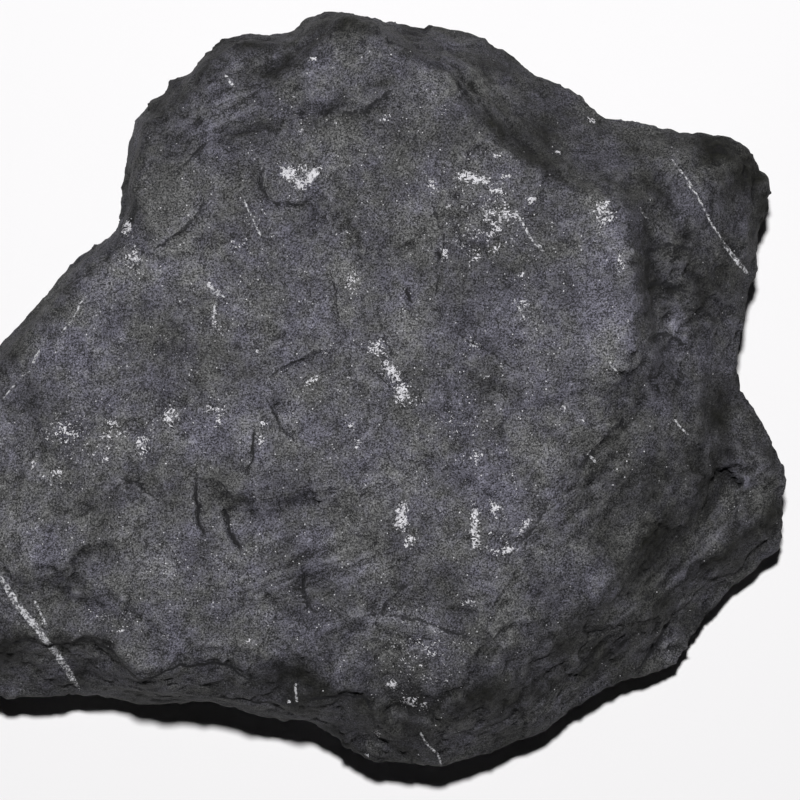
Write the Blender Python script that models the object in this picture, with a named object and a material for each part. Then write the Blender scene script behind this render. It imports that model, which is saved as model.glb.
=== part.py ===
"""Raw shungite: one broken slab of charcoal-black stone, lying on its flattest side.

A dusty, nearly level upper face is bounded by broken flanks: ledges to the north-west, a steep
band over a smooth facet to the north-east, a fluted gully to the east, a lower terrace over a
ribbed face to the south-east, and a scalloped rim to the south. The upper and the lower side
are two sheets that share one outline, so together they close the stone.

+X runs along the length, +Y across it and +Z up; points are in millimetres until the end.
"""

import math

import bmesh
import bpy
import numpy as np
from mathutils import Vector, geometry, kdtree, noise
from mathutils.bvhtree import BVHTree

MM = 0.001
LENGTH = 109.0  # overall sizes of the stone in millimetres, which its drawing is scaled to
WIDTH = 94.5
THICKNESS = 30.0

TOP_SPACING = 1.8  # distance between mesh points in millimetres
UNDERSIDE_SPACING = 2.9
LINE_SPACING = 1.8
LEDGE_WIDTH = 0.6  # how far the foot of a small ledge lies from its edge
GRID_JITTER = 0.28  # shift of a grid point, as a share of the spacing
GRID_CLEARANCE = 0.62  # distance that grid points keep from drawn lines, as a share of the spacing
BROAD_ROUGHNESS = 0.7  # heights of the unevenness, and how many of its waves there are per millimetre
SMALL_ROUGHNESS = 0.45
BROAD_WAVES = 0.075
SMALL_WAVES = 0.19
REST_FADE = 3.0  # height over which the unevenness comes in, above the surface the stone rests on
REST_LEVEL = 0.03  # what lies lower than this is made flat
ABOVE_EVERYTHING = 100.0  # height from which the sheets are probed
PROBE_NUDGES = (0.0, 0.003, -0.004)  # small sideways shifts that find a way past exact edges
SEED = 7
STONE_NAME = "shungite"
STONE_COLOUR = (0.064, 0.064, 0.069, 1.0)  # linear values of a charcoal grey
STONE_ROUGHNESS = 0.82

# The outline from above, clockwise from the west: x, y and the height at which the edge runs.
OUTLINE = [
    (-44.0, 5.5, 17), (-41.0, 8.5, 17), (-37.5, 13.0, 17), (-34.0, 16.5, 17), (-31.5, 18.5, 17),
    (-29.5, 20.0, 17), (-28.5, 23.5, 17), (-28.0, 27.0, 16.5), (-27.5, 31.0, 16.5),
    (-27.0, 34.0, 16), (-25.0, 36.0, 16), (-23.0, 37.0, 16), (-22.0, 39.0, 16), (-20.0, 40.0, 16),
    (-18.5, 42.0, 16), (-16.0, 44.0, 16), (-13.0, 44.7, 16), (-10.5, 44.8, 16), (-7.5, 45.3, 16),
    (-5.5, 46.7, 16.5), (-3.5, 47.2, 17), (-0.5, 47.3, 17.5), (2.2, 47.3, 17), (5.5, 46.8, 16),
    (8.5, 46.2, 15.5), (12.0, 45.6, 15), (15.7, 44.8, 15), (19.2, 42.7, 15), (23.0, 40.1, 15.5),
    (26.5, 38.6, 16), (28.7, 37.2, 16.5), (29.8, 35.9, 17), (32.0, 34.7, 17), (35.0, 34.1, 17),
    (38.5, 33.4, 16.5), (42.5, 32.8, 16), (46.5, 32.4, 15), (48.4, 31.6, 14), (50.6, 30.0, 13),
    (52.0, 27.7, 12.5), (52.5, 25.3, 12), (52.0, 22.8, 12), (51.3, 20.0, 12), (51.3, 18.0, 12),
    (50.6, 14.8, 12), (49.6, 13.0, 12), (49.4, 9.0, 12.5), (48.8, 7.0, 13), (48.4, 3.5, 13.5),
    (49.2, 0.5, 14), (51.2, -2.7, 14), (52.7, -5.4, 13.5), (53.6, -7.5, 13), (54.7, -9.5, 12.5),
    (54.8, -12.0, 12), (54.0, -13.7, 11), (54.3, -16.8, 9.5), (53.7, -20.0, 8), (50.9, -23.1, 7),
    (48.2, -25.6, 6.6), (45.8, -27.8, 6.4), (44.5, -30.2, 6.4), (42.9, -32.9, 6.6),
    (40.7, -34.9, 7.2), (37.3, -36.0, 8), (33.4, -37.3, 9.2), (30.8, -38.9, 9.8),
    (26.5, -41.3, 9.8),
    (22.8, -43.6, 9.6), (19.0, -45.4, 11), (15.2, -46.7, 12.5), (10.9, -47.4, 13), (7.0, -47.0, 13),
    (2.7, -46.6, 12.5), (0.0, -45.5, 12), (-2.5, -43.9, 12), (-5.5, -41.9, 12), (-9.8, -41.5, 12),
    (-13.8, -40.5, 12), (-18.2, -39.7, 10), (-21.6, -39.6, 7.4), (-27.0, -39.3, 7),
    (-31.0, -39.1, 7), (-34.3, -38.5, 9.5), (-36.6, -38.3, 12), (-40.0, -38.4, 12),
    (-44.0, -38.3, 10.5), (-47.6, -37.6, 11), (-50.3, -36.0, 12.5), (-51.8, -33.0, 14),
    (-52.4, -28.7, 14.5), (-54.2, -23.5, 15), (-54.1, -17.5, 15.5), (-53.0, -12.0, 16),
    (-51.6, -7.5, 16.5), (-50.0, -2.7, 17), (-47.3, 1.5, 17),
]

# Lines along which the upper side folds: crests, feet of steep bands, gullies and rims.
UPPER_LINES = {
    "crest over the north-east band": [
        (-0.5, 46.2, 25), (2.7, 45.0, 26), (6.0, 43.0, 27.5), (9.3, 41.3, 28), (12.0, 38.3, 28.5),
        (13.7, 35.3, 29), (16.0, 31.6, 29), (19.3, 29.0, 29), (23.7, 26.6, 29), (28.7, 24.6, 28.8),
        (33.5, 23.5, 28.3),
    ],
    "foot of the north-east band": [
        (5.6, 44.4, 21), (10.0, 42.9, 21.5), (14.5, 41.0, 22), (18.0, 37.8, 22.8),
        (21.2, 34.3, 23.3), (24.6, 31.0, 23.6), (29.0, 28.7, 23.4), (34.0, 27.3, 23),
        (38.5, 26.0, 22), (43.5, 26.8, 20), (48.0, 28.2, 16.5),
    ],
    "crest over the east flank": [
        (33.5, 23.5, 28.3), (34.5, 17.6, 28.5), (35.0, 11.3, 28.5), (34.7, 5.7, 28.5),
        (32.7, 1.6, 28.3), (29.7, -1.4, 28), (27.2, -4.7, 27.5), (26.4, -8.0, 27.5),
        (26.2, -11.4, 27.2), (24.0, -15.6, 27), (21.0, -19.3, 27), (18.7, -22.7, 26.7),
        (17.4, -26.2, 26.5), (16.0, -31.2, 26), (14.4, -36.2, 25), (12.7, -40.9, 22),
        (11.2, -43.9, 19),
    ],
    "gully down the east flank": [
        (36.3, 21.0, 24.2), (37.0, 17.0, 23.6), (37.6, 11.3, 23.2), (38.0, 6.6, 23.2),
        (38.9, 1.3, 23.2), (41.2, -2.2, 21.0), (44.4, -4.3, 17.5),
    ],
    "spur between gully and edge": [
        (38.9, 24.0, 23.2), (41.9, 19.8, 22.4), (44.0, 16.0, 20.2), (43.4, 11.3, 19.7),
        (42.6, 7.6, 19.8), (42.2, 3.2, 20.2), (43.7, -0.6, 18.9),
    ],
    "rim of the east face": [
        (48.4, 23.2, 17.5), (48.8, 18.8, 16), (47.8, 14.4, 15.5), (46.4, 10.3, 15.5),
        (45.7, 5.7, 16), (44.9, 0.7, 16.7), (44.4, -4.3, 17.5), (45.2, -8.9, 17.7),
        (49.3, -9.2, 15.5), (52.5, -9.7, 13.8),
    ],
    "edge of the south-east terrace": [
        (45.2, -8.9, 17.7), (42.4, -12.7, 20), (39.2, -15.2, 21), (36.2, -18.7, 21.5),
        (32.7, -22.7, 22), (29.7, -26.4, 22.3), (26.2, -29.7, 22.5), (22.4, -32.7, 22.5),
        (19.7, -35.7, 22), (17.2, -38.9, 21), (14.3, -41.9, 19.7), (11.2, -43.9, 19),
    ],
    "foot of the south-east band": [
        (48.7, -12.7, 13.5), (45.6, -14.6, 14.5), (42.4, -17.1, 15.5), (38.9, -20.8, 16.3),
        (35.6, -24.6, 16.8), (32.4, -27.9, 17.3), (28.9, -31.7, 17.6), (25.2, -34.9, 17.6),
        (22.4, -37.9, 16.8), (19.3, -40.8, 15.8), (16.0, -43.7, 14.3),
    ],
    "rib along the south-east face": [
        (52.2, -15.2, 12.8), (48.4, -17.8, 14), (44.0, -21.4, 14.8), (40.0, -25.2, 15.3),
        (36.2, -28.3, 15.6), (32.7, -32.0, 15.6), (29.7, -34.7, 15.2), (26.2, -37.7, 14),
    ],
    "scalloped south rim": [
        (-50.0, -31.8, 21.5), (-46.3, -32.6, 22.5), (-43.8, -31.3, 23.5), (-40.3, -30.2, 24),
        (-37.6, -31.2, 24), (-32.6, -30.2, 24.5), (-29.8, -31.3, 25), (-28.0, -33.7, 24.7),
        (-26.2, -35.7, 23.8), (-23.8, -35.2, 24), (-20.6, -33.9, 24.7), (-17.0, -33.4, 25),
        (-14.0, -34.3, 24.5), (-12.3, -36.8, 22.5), (-10.3, -38.3, 20), (-7.8, -38.9, 19.5),
        (-5.7, -38.0, 21.5), (-2.6, -37.6, 23), (0.6, -37.2, 23), (1.9, -38.9, 22),
        (3.2, -40.6, 20.8), (6.0, -42.3, 19.8), (8.7, -43.2, 19.3), (11.2, -43.9, 19),
    ],
    "crease under the west of the rim": [(-40.2, -31.5, 22), (-39.3, -34.3, 17), (-38.8, -37.2, 14)],
    "bench under the south rim": [
        (-24.8, -37.2, 20), (-21.9, -37.9, 18.6), (-18.2, -38.4, 18), (-14.4, -38.7, 17.6),
        (-11.8, -39.6, 16.6),
    ],
    "fold of the south face": [
        (-6.0, -40.1, 17.5), (-2.6, -40.9, 17), (1.4, -42.2, 16.5), (4.5, -44.2, 15.3),
    ],
    "north-west rim": [
        (-51.0, -8.0, 22), (-48.8, -2.7, 23), (-46.6, 0.3, 23.5), (-43.2, 4.0, 24),
        (-39.5, 7.6, 24.5), (-34.5, 13.4, 25), (-31.5, 16.3, 25), (-29.0, 18.6, 25),
        (-27.3, 21.9, 25), (-26.8, 25.0, 25), (-26.0, 28.2, 24.8), (-25.6, 31.0, 24),
        (-25.6, 33.4, 23.2), (-23.6, 34.8, 22.8), (-21.6, 36.6, 22.5), (-19.7, 38.4, 22.2),
        (-18.0, 40.5, 21.8), (-16.0, 42.0, 21.3), (-13.2, 43.1, 21.3), (-10.0, 43.2, 21.5),
        (-7.3, 43.6, 21.5), (-4.8, 45.2, 22), (-2.6, 46.0, 22.5), (-0.5, 46.2, 25),
    ],
    "west rim": [
        (-51.0, -8.0, 22), (-52.2, -12.4, 22), (-53.3, -17.4, 21.8), (-53.2, -23.0, 21.6),
        (-51.5, -28.0, 21.5), (-50.0, -31.8, 21.5),
    ],
    "upper north-west ledge, edge": [
        (-24.7, 27.6, 25.1), (-20.8, 28.2, 25.6), (-18.2, 30.0, 26.1), (-12.6, 31.3, 26.7),
        (-6.4, 33.4, 27.1), (-0.7, 35.2, 27.5), (4.7, 38.0, 28.0), (6.7, 40.3, 28.1),
    ],
    "upper north-west ledge, foot": [
        (-24.9, 28.9, 24.6), (-21.2, 29.6, 24.8), (-19.0, 31.6, 25.1), (-13.2, 32.7, 26.2),
        (-7.0, 34.9, 26.5), (-1.5, 36.9, 26.6), (3.6, 39.6, 27.0), (5.2, 41.5, 27.2),
    ],
    "lower north-west ledge, edge": [
        (-20.6, 36.6, 23.5), (-18.6, 37.3, 23.9), (-16.5, 38.4, 24.4), (-13.2, 38.1, 24.8),
        (-8.6, 38.7, 25.3), (-6.0, 40.5, 25.6), (-4.1, 42.5, 25.3), (-2.1, 44.6, 25.0),
        (-0.5, 46.2, 25),
    ],
    "lower north-west ledge, foot": [
        (-20.0, 37.8, 22.6), (-18.7, 38.6, 22.6), (-16.8, 39.9, 22.6), (-13.2, 39.6, 22.9),
        (-9.2, 40.2, 23.4), (-6.9, 42.0, 23.5), (-5.1, 43.8, 23.2),
    ],
}

# Single heights that shape the broad swell of the upper face.
UPPER_SPOTS = [
    (3.7, 1.3, 29.7), (-37.5, -7.5, 27), (-42.0, -20.0, 26.3), (-18.8, -13.7, 28.3),
    (-6.3, 17.6, 28.4), (-18.8, 20.0, 27.3), (10.0, 28.0, 28.8), (20.0, 14.0, 29.2),
    (6.0, -22.0, 28.2), (-24.0, -26.0, 27.2), (28.0, 12.0, 29.0), (-30.0, 6.0, 27.0),
    (13.0, -10.0, 28.6), (-6.0, -32.0, 26.3), (41.0, 30.0, 19.8), (30.0, 33.5, 19.5),
    (16.0, 42.6, 18.5), (32.0, -14.0, 23.6), (25.0, -23.0, 24.0), (46.0, -19.0, 14.0),
]

# Small ledges: the ground right of the line lies lower by the drop, and recovers over the reach.
UPPER_LEDGES = [
    (1.3, 7.0, [(-10.4, 28.2), (-11.4, 26.0), (-11.0, 23.8), (-8.6, 22.6), (-6.0, 23.2), (-3.6, 25.2)]),
    (1.0, 6.0, [(-2.4, 15.0), (-1.9, 11.4), (-1.7, 8.6), (-3.2, 6.4)]),
    (0.9, 5.0, [(10.6, 14.8), (11.4, 18.8), (9.9, 22.6)]),
    (0.8, 5.0, [(18.6, 3.4), (16.4, 5.2), (13.8, 6.4), (11.8, 7.6)]),
    (0.9, 6.0, [(-10.7, 1.4), (-7.6, 3.2), (-5.0, 4.4), (-2.4, 5.8)]),
    (1.1, 6.0, [(-6.9, -6.2), (-8.8, -4.4), (-10.4, -0.6)]),
    (1.2, 5.0, [(-17.9, -18.0), (-18.8, -15.6), (-19.2, -10.6)]),
    (1.0, 5.0, [(-13.6, -19.6), (-14.8, -17.4), (-15.7, -14.4)]),
    (0.8, 6.0, [(-3.8, -27.4), (-5.6, -26.2), (-6.2, -21.2)]),
    (0.7, 6.0, [(-23.2, -13.8), (-26.2, -11.4), (-28.8, -10.6)]),
    (0.9, 6.0, [(14.6, -30.4), (8.4, -28.2), (2.6, -27.2)]),
    (0.8, 5.0, [(36.4, -34.6), (38.8, -31.2), (40.4, -27.0)]),
    (1.0, 5.0, [(-24.6, 17.4), (-20.4, 19.8), (-18.0, 23.4)]),
    (0.4, 7.0, [(-35.6, -24.6), (-27.4, -26.8), (-20.6, -25.6)]),
    (0.9, 4.0, [(34.0, -34.4), (38.6, -30.2), (43.0, -26.4), (48.0, -22.2)]),
    (0.8, 3.5, [(36.2, 15.8), (38.6, 16.6), (42.0, 14.6)]),
    (0.8, 3.5, [(36.4, 9.0), (38.8, 9.8), (42.0, 8.4)]),
    (0.7, 5.0, [(25.4, -16.0), (28.2, -13.2), (31.0, -9.4), (33.6, -7.2)]),
    (0.8, 5.0, [(-33.0, 1.0), (-28.4, 3.6), (-24.6, 8.4)]),
    (0.7, 6.0, [(-42.6, -8.8), (-37.4, -11.6), (-31.0, -10.2)]),
    (0.7, 5.0, [(-14.2, 11.2), (-16.8, 13.4), (-17.4, 17.2)]),
    (0.8, 4.0, [(22.0, 22.6), (24.6, 19.2), (28.8, 18.0)]),
]

# Swells and scooped hollows of the upper side: x, y, radius and height in the middle.
UPPER_SWELLS = [
    (-6.5, 25.5, 4.5, -1.0), (6.8, 11.6, 5.5, -0.9), (14.0, 21.0, 5.0, 0.7), (-8.0, -4.0, 4.0, 0.6),
    (27.0, 16.0, 5.5, 0.5), (15.0, -27.6, 2.5, -0.8), (-17.0, -13.0, 3.0, 0.6), (20.0, -5.0, 7.0, 0.5),
    (-12.0, 8.0, 5.0, -0.6), (4.0, -14.0, 7.0, -0.5), (-31.0, -16.0, 9.0, 0.2), (6.5, 33.0, 5.0, 0.4),
    (36.0, -6.0, 5.0, 0.8), (31.5, -24.5, 3.5, 0.6), (43.0, 8.0, 2.5, 0.6), (-36.0, 3.0, 6.0, -0.4),
]

# The flat patch that the stone rests on, and the folds of the underside.
REST_PATCH = [
    (-25.0, -20.0), (-28.0, -11.0), (-22.0, 0.0), (-15.0, 5.0), (-9.0, 15.0), (4.0, 20.0),
    (17.0, 18.0), (21.0, 9.0), (28.0, 1.0), (26.0, -11.0), (16.0, -16.0), (11.0, -25.0),
    (-5.0, -22.0), (-15.0, -25.0),
]
UNDERSIDE_LINES = {
    "keel to the west": [(-45.0, -17.0, 4.4), (-38.0, -15.0, 2.2), (-29.0, -11.2, 0.4)],
    "keel to the north": [(6.0, 36.5, 5.0), (7.5, 29.0, 2.4), (4.6, 20.8, 0.4)],
    "keel to the east": [(41.5, -3.6, 3.6), (36.0, -2.0, 1.6), (28.8, 0.8, 0.4)],
    "keel to the south": [(12.0, -38.0, 2.8), (12.5, -32.0, 1.2), (11.2, -25.8, 0.3)],
    "broken step to the north-east": [(22.5, 30.5, 5.0), (27.5, 22.0, 2.6), (38.0, 18.5, 4.6)],
    "hollow to the south-west": [(-34.0, -30.0, 4.6), (-27.0, -26.5, 2.8), (-20.0, -31.0, 4.0)],
    "hollow to the north-west": [(-33.0, 6.0, 5.2), (-22.0, 10.0, 3.4), (-17.0, 22.0, 5.4)],
}
UNDERSIDE_LEDGES = [
    (1.6, 9.0, [(-30.0, 12.0), (-20.0, 22.0), (-16.0, 33.0)]),
    (1.3, 8.0, [(38.0, -28.0), (30.0, -25.0), (22.0, -33.0)]),
    (1.1, 7.0, [(-44.0, -24.0), (-37.0, -28.0), (-28.0, -33.0)]),
]
LOWER_RIM_REACH = 0.91  # share of the outline's distance from the middle
LOWER_RIM_HEIGHT = 5.4
LOWER_RIM_LIMIT = 0.55  # most of the outline's own height that the lower rim reaches
LOWER_RIM_WAVES = 0.09  # waves per millimetre of the rim's wandering in and out, and its sizes
LOWER_RIM_WANDER = 0.05
LOWER_RIM_SWAY = 2.6
COLLAR_REACH = 0.972  # the steep row of points just under the outline
COLLAR_RISE = 0.45  # where it lies between the lower rim and the outline
COLLAR_WAVES = 0.2
COLLAR_WANDER = 0.012
COLLAR_SWAY = 0.25

# Fields of tilted facets: width in millimetres, slope and a number that tells the fields apart.
UPPER_FACETS = [(11.0, 0.12, 0.3), (5.5, 0.11, 4.3)]
UNDERSIDE_FACETS = (11.0, 0.22, 7.7)
UNDERSIDE_FADE = 2.5  # height over which the underside's facets come in


def mixed(low, high, share):
    """Value between low and high."""
    return low + (high - low) * share


def resampled(points, spacing, closed=False):
    """Points along a line, no further apart than the spacing, its corners kept."""
    loop = [Vector(point) for point in points]
    if closed:
        loop.append(loop[0])
    result = []
    for start, end in zip(loop, loop[1:]):
        count = max(1, round((end - start).length / spacing))
        result += [start.lerp(end, step / count) for step in range(count)]
    if not closed:
        result.append(loop[-1])
    return result


def offset_right(points, distance):
    """The same line, moved to its right-hand side as seen from above."""
    result = []
    for index, point in enumerate(points):
        before = points[max(index - 1, 0)]
        after = points[min(index + 1, len(points) - 1)]
        along = (after - before).normalized()
        result.append(Vector((point.x + along.y * distance, point.y - along.x * distance)))
    return result


def joined_by_edges(lines):
    """All points of the lines in one list, with the edges that join each line's points."""
    points = []
    edges = []
    for line in lines:
        first = len(points)
        points += line
        edges += [(index, index + 1) for index in range(first, len(points) - 1)]
    return points, edges


def triangulated(outline, lines, spots):
    """Delaunay triangles inside the outline, folded along the lines.

    Returns the flat vertices, the triangles, and for each vertex the points it came from.
    """
    inner, edges = joined_by_edges(lines)
    first = len(outline)
    points = outline + inner + spots
    edges = [(a + first, b + first) for a, b in edges]
    flat = [Vector((point[0], point[1])) for point in points]
    border = [list(reversed(range(first)))]
    flat, _edges, faces, sources, _from_edges, borders = geometry.delaunay_2d_cdt(
        flat, edges, border, 1, 1e-5, True
    )
    inside = [face for face, owner in zip(faces, borders) if owner]
    return flat, inside, sources


def coarse_tree(outline, lines, spots):
    """Search tree of the sheet that runs straight between the drawn heights."""
    inner = [point for line in lines for point in line]
    points = outline + inner + spots
    flat, faces, sources = triangulated(outline, lines, spots)
    solid = []
    for place, source in zip(flat, sources):
        solid.append(Vector((place.x, place.y, points[source[0]][2])))
    return BVHTree.FromPolygons(solid, faces)


def drawn_height(tree, x, y):
    """Height of the coarse sheet at a place, or None outside it."""
    for nudge in PROBE_NUDGES:
        start = Vector((x + nudge, y + nudge / 2, ABOVE_EVERYTHING))
        hit = tree.ray_cast(start, Vector((0, 0, -1)))
        if hit[0] is not None:
            return hit[0].z
    return None


def measured_from(place, line):
    """Distance to a line, whether the place is right of it, and the share of the line passed."""
    best = None
    for index, (start, end) in enumerate(zip(line, line[1:])):
        start = Vector(start)
        along = Vector(end) - start
        share = min(max((place - start).dot(along) / along.length_squared, 0.0), 1.0)
        away = place - (start + along * share)
        if best is None or away.length < best[0]:
            best = (away.length, along.cross(away) < 0.0, (index + share) / (len(line) - 1))
    return best


def ledge_drop(x, y, ledges):
    """How much lower the ground lies here because of the small ledges, which die out at their ends."""
    place = Vector((x, y))
    total = 0.0
    for drop, reach, line in ledges:
        gap, to_right, passed = measured_from(place, line)
        if to_right and gap > 0.05:
            strength = min(6.0 * passed * (1.0 - passed), 1.0)
            total += drop * strength * math.exp(-gap / reach)
    return total


def swell_height(x, y, swells):
    """Height added by the broad swells and hollows."""
    total = 0.0
    for centre_x, centre_y, radius, height in swells:
        total += height * math.exp(-((x - centre_x) ** 2 + (y - centre_y) ** 2) / radius**2)
    return total


def facet_height(x, y, size, slope, salt):
    """Height of a field of flat facets, each of them tilted its own way."""
    place = Vector((x / size, y / size, salt))
    seed = noise.voronoi(place)[1][0]
    tilt = noise.cell_vector(seed * 37.0)
    away = place - seed
    return size * slope * (away.x * (tilt.x - 0.5) + away.y * (tilt.y - 0.5)) * 2.0


def grid_inside(tree, spacing, keep_clear):
    """Points of an uneven triangular grid inside the sheet, clear of the given points."""
    clear = kdtree.KDTree(len(keep_clear))
    for index, point in enumerate(keep_clear):
        clear.insert((point[0], point[1], 0.0), index)
    clear.balance()
    chance = np.random.default_rng(SEED)
    row_step = spacing * math.sqrt(0.75)
    rows = int(WIDTH / row_step) + 4
    columns = int(LENGTH / spacing) + 4
    result = []
    for row in range(-rows // 2, rows // 2 + 1):
        for column in range(-columns // 2, columns // 2 + 1):
            shift = chance.uniform(-GRID_JITTER, GRID_JITTER, 2) * spacing
            x = (column + 0.5 * (row % 2)) * spacing + shift[0]
            y = row * row_step + shift[1]
            if clear.find((x, y, 0.0))[2] < spacing * GRID_CLEARANCE:
                continue
            if drawn_height(tree, x, y) is not None:
                result.append(Vector((x, y)))
    return result


def fine_sheet(outline, lines, tree, ledges, spacing, height_at):
    """Mesh of one side of the stone: vertices, triangles, and the outline point of each vertex."""
    flat_lines = [[Vector((p[0], p[1])) for p in resampled(line, LINE_SPACING)] for line in lines]
    for _drop, _reach, line in ledges:
        edge = resampled(line, LINE_SPACING)
        flat_lines.append(edge)
        flat_lines.append(offset_right(edge, LEDGE_WIDTH))
    keep_clear = outline + [point for line in flat_lines for point in line]
    grid = grid_inside(tree, spacing, keep_clear)
    flat, faces, sources = triangulated(outline, flat_lines, grid)
    vertices = []
    on_outline = []
    for place, source in zip(flat, sources):
        border = [index for index in source if index < len(outline)]
        on_outline.append(border[0] if border else None)
        height = outline[border[0]][2] if border else height_at(place.x, place.y)
        vertices.append(Vector((place.x, place.y, height)))
    return vertices, faces, on_outline


def upper_sheet(outline):
    """The upper side, with its ledges, hollows and facets."""
    lines = list(UPPER_LINES.values())
    tree = coarse_tree(OUTLINE, lines, UPPER_SPOTS)

    def height_at(x, y):
        height = drawn_height(tree, x, y)
        height += swell_height(x, y, UPPER_SWELLS)
        height -= ledge_drop(x, y, UPPER_LEDGES)
        for size, slope, salt in UPPER_FACETS:
            height += facet_height(x, y, size, slope, salt)
        return height

    return fine_sheet(outline, lines, tree, UPPER_LEDGES, TOP_SPACING, height_at)


def lower_rim():
    """The uneven ring where the steep sides turn under the stone."""
    ring = []
    for x, y, height in OUTLINE[::2]:
        wobble = noise.noise(Vector((x * LOWER_RIM_WAVES, y * LOWER_RIM_WAVES, 2.0)))
        reach = LOWER_RIM_REACH + LOWER_RIM_WANDER * wobble
        rise = min(LOWER_RIM_HEIGHT + LOWER_RIM_SWAY * wobble, LOWER_RIM_LIMIT * height)
        ring.append((x * reach, y * reach, rise))
    ring.append(ring[0])
    return ring


def collar():
    """The row of points where the steep sides start to draw in."""
    ring = []
    for x, y, height in OUTLINE:
        wobble = noise.noise(Vector((x * COLLAR_WAVES, y * COLLAR_WAVES, 5.0)))
        reach = COLLAR_REACH + COLLAR_WANDER * wobble
        low = min(LOWER_RIM_HEIGHT, LOWER_RIM_LIMIT * height)
        rise = mixed(low, height, COLLAR_RISE + COLLAR_SWAY * wobble)
        ring.append((x * reach, y * reach, rise))
    ring.append(ring[0])
    return ring


def under_sheet(outline):
    """The underside, with the flat patch that the stone rests on."""
    patch = [(x, y, 0.0) for x, y in REST_PATCH]
    patch.append(patch[0])
    folds = [collar(), lower_rim(), patch] + list(UNDERSIDE_LINES.values())
    tree = coarse_tree(OUTLINE, folds, [])

    def height_at(x, y):
        height = drawn_height(tree, x, y)
        if height < REST_LEVEL:
            return 0.0
        rise = min(height / UNDERSIDE_FADE, 1.0)
        extra = ledge_drop(x, y, UNDERSIDE_LEDGES) + facet_height(x, y, *UNDERSIDE_FACETS)
        return max(height + rise * extra, 0.0)

    return fine_sheet(outline, folds, tree, UNDERSIDE_LEDGES, UNDERSIDE_SPACING, height_at)


def closed_stone():
    """Both sheets as one closed bmesh, sewn along the outline."""
    outline = resampled(OUTLINE, LINE_SPACING, closed=True)
    stone = bmesh.new()
    shared = [stone.verts.new(point) for point in outline]
    for sheet, upward in ((upper_sheet(outline), True), (under_sheet(outline), False)):
        vertices, faces, on_outline = sheet
        made = []
        for place, border in zip(vertices, on_outline):
            made.append(stone.verts.new(place) if border is None else shared[border])
        for face in faces:
            corners = [made[index] for index in face]
            flat = [corner.co.xy for corner in corners]
            turn = (flat[1] - flat[0]).cross(flat[2] - flat[0])
            if (turn > 0.0) != upward:
                corners.reverse()
            stone.faces.new(corners)
    return stone


def weathered(stone):
    """Make the broken surface uneven all round, and leave the resting patch flat."""
    stone.normal_update()
    places = []
    for vertex in stone.verts:
        broad = BROAD_ROUGHNESS * noise.noise(vertex.co * BROAD_WAVES)
        small = SMALL_ROUGHNESS * noise.noise(vertex.co * SMALL_WAVES)
        fade = min(vertex.co.z / REST_FADE, 1.0)
        places.append(vertex.co + vertex.normal * (broad + small) * fade)
    for vertex, place in zip(stone.verts, places):
        vertex.co = place
        if place.z < REST_LEVEL:
            vertex.co.z = 0.0


def brought_to_size(stone):
    """Scale to the driving sizes in metres and stand the stone on the middle of its box."""
    places = np.array([vertex.co for vertex in stone.verts])
    low = places.min(axis=0)
    high = places.max(axis=0)
    scale = np.array((LENGTH, WIDTH, THICKNESS)) * MM / (high - low)
    base = np.array(((low[0] + high[0]) / 2, (low[1] + high[1]) / 2, low[2]))
    for vertex, place in zip(stone.verts, places):
        vertex.co = (place - base) * scale


def stone_material():
    """Dull charcoal stone."""
    material = bpy.data.materials.new("shungite_matt_charcoal")
    material.use_nodes = True
    shader = material.node_tree.nodes["Principled BSDF"]
    shader.inputs["Base Color"].default_value = STONE_COLOUR
    shader.inputs["Roughness"].default_value = STONE_ROUGHNESS
    shader.inputs["Metallic"].default_value = 0.0
    material.diffuse_color = STONE_COLOUR
    return material


def main():
    """Clear the file and build the stone."""
    for leftover in list(bpy.data.objects):
        bpy.data.objects.remove(leftover, do_unlink=True)
    stone = closed_stone()
    weathered(stone)
    brought_to_size(stone)
    mesh = bpy.data.meshes.new(STONE_NAME)
    stone.to_mesh(mesh)
    stone.free()
    mesh.materials.append(stone_material())
    bpy.context.scene.collection.objects.link(bpy.data.objects.new(STONE_NAME, mesh))


main()
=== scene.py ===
"""Looks of a raw shungite slab: fine broken relief, dust with painted sheen, white veins, flaky
crust, sparkle with painted glints, and painted shade.

The one solid of the frame is copied, remeshed finely and carved with ledges, cracks and hackly
facets. Marks that follow the rock, such as veins and flakes, are kept as attributes of the
surface, and the material turns them into crisp colour. Places on the stone are in millimetres
in the frame's own axes; meshes are in metres.
"""

from __future__ import annotations
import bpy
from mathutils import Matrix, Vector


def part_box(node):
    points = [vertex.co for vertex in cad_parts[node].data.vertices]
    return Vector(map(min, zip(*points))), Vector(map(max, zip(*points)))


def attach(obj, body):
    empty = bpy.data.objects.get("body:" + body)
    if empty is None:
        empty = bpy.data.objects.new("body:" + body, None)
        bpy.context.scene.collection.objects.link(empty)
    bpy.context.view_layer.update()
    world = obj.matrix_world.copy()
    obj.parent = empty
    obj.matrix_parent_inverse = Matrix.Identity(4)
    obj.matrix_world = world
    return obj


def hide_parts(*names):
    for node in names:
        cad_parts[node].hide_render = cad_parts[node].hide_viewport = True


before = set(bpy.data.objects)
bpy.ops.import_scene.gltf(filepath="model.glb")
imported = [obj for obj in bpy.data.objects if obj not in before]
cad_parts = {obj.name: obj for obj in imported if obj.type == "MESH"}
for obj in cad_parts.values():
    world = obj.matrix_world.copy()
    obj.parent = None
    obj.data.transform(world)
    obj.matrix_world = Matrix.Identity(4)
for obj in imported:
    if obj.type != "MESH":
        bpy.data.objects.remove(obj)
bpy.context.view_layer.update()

import logging
import math
from dataclasses import dataclass, field
from enum import Enum

import bmesh
import bpy
import numpy as np
from mathutils import Vector, noise

LOG = logging.getLogger("shungite")
MM = 0.001
NODE = "shungite"
PIECE = "raw_shungite_slab"
NOISE_SEED = 7  # noise vectors start from the clock unless they are given a seed

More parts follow.
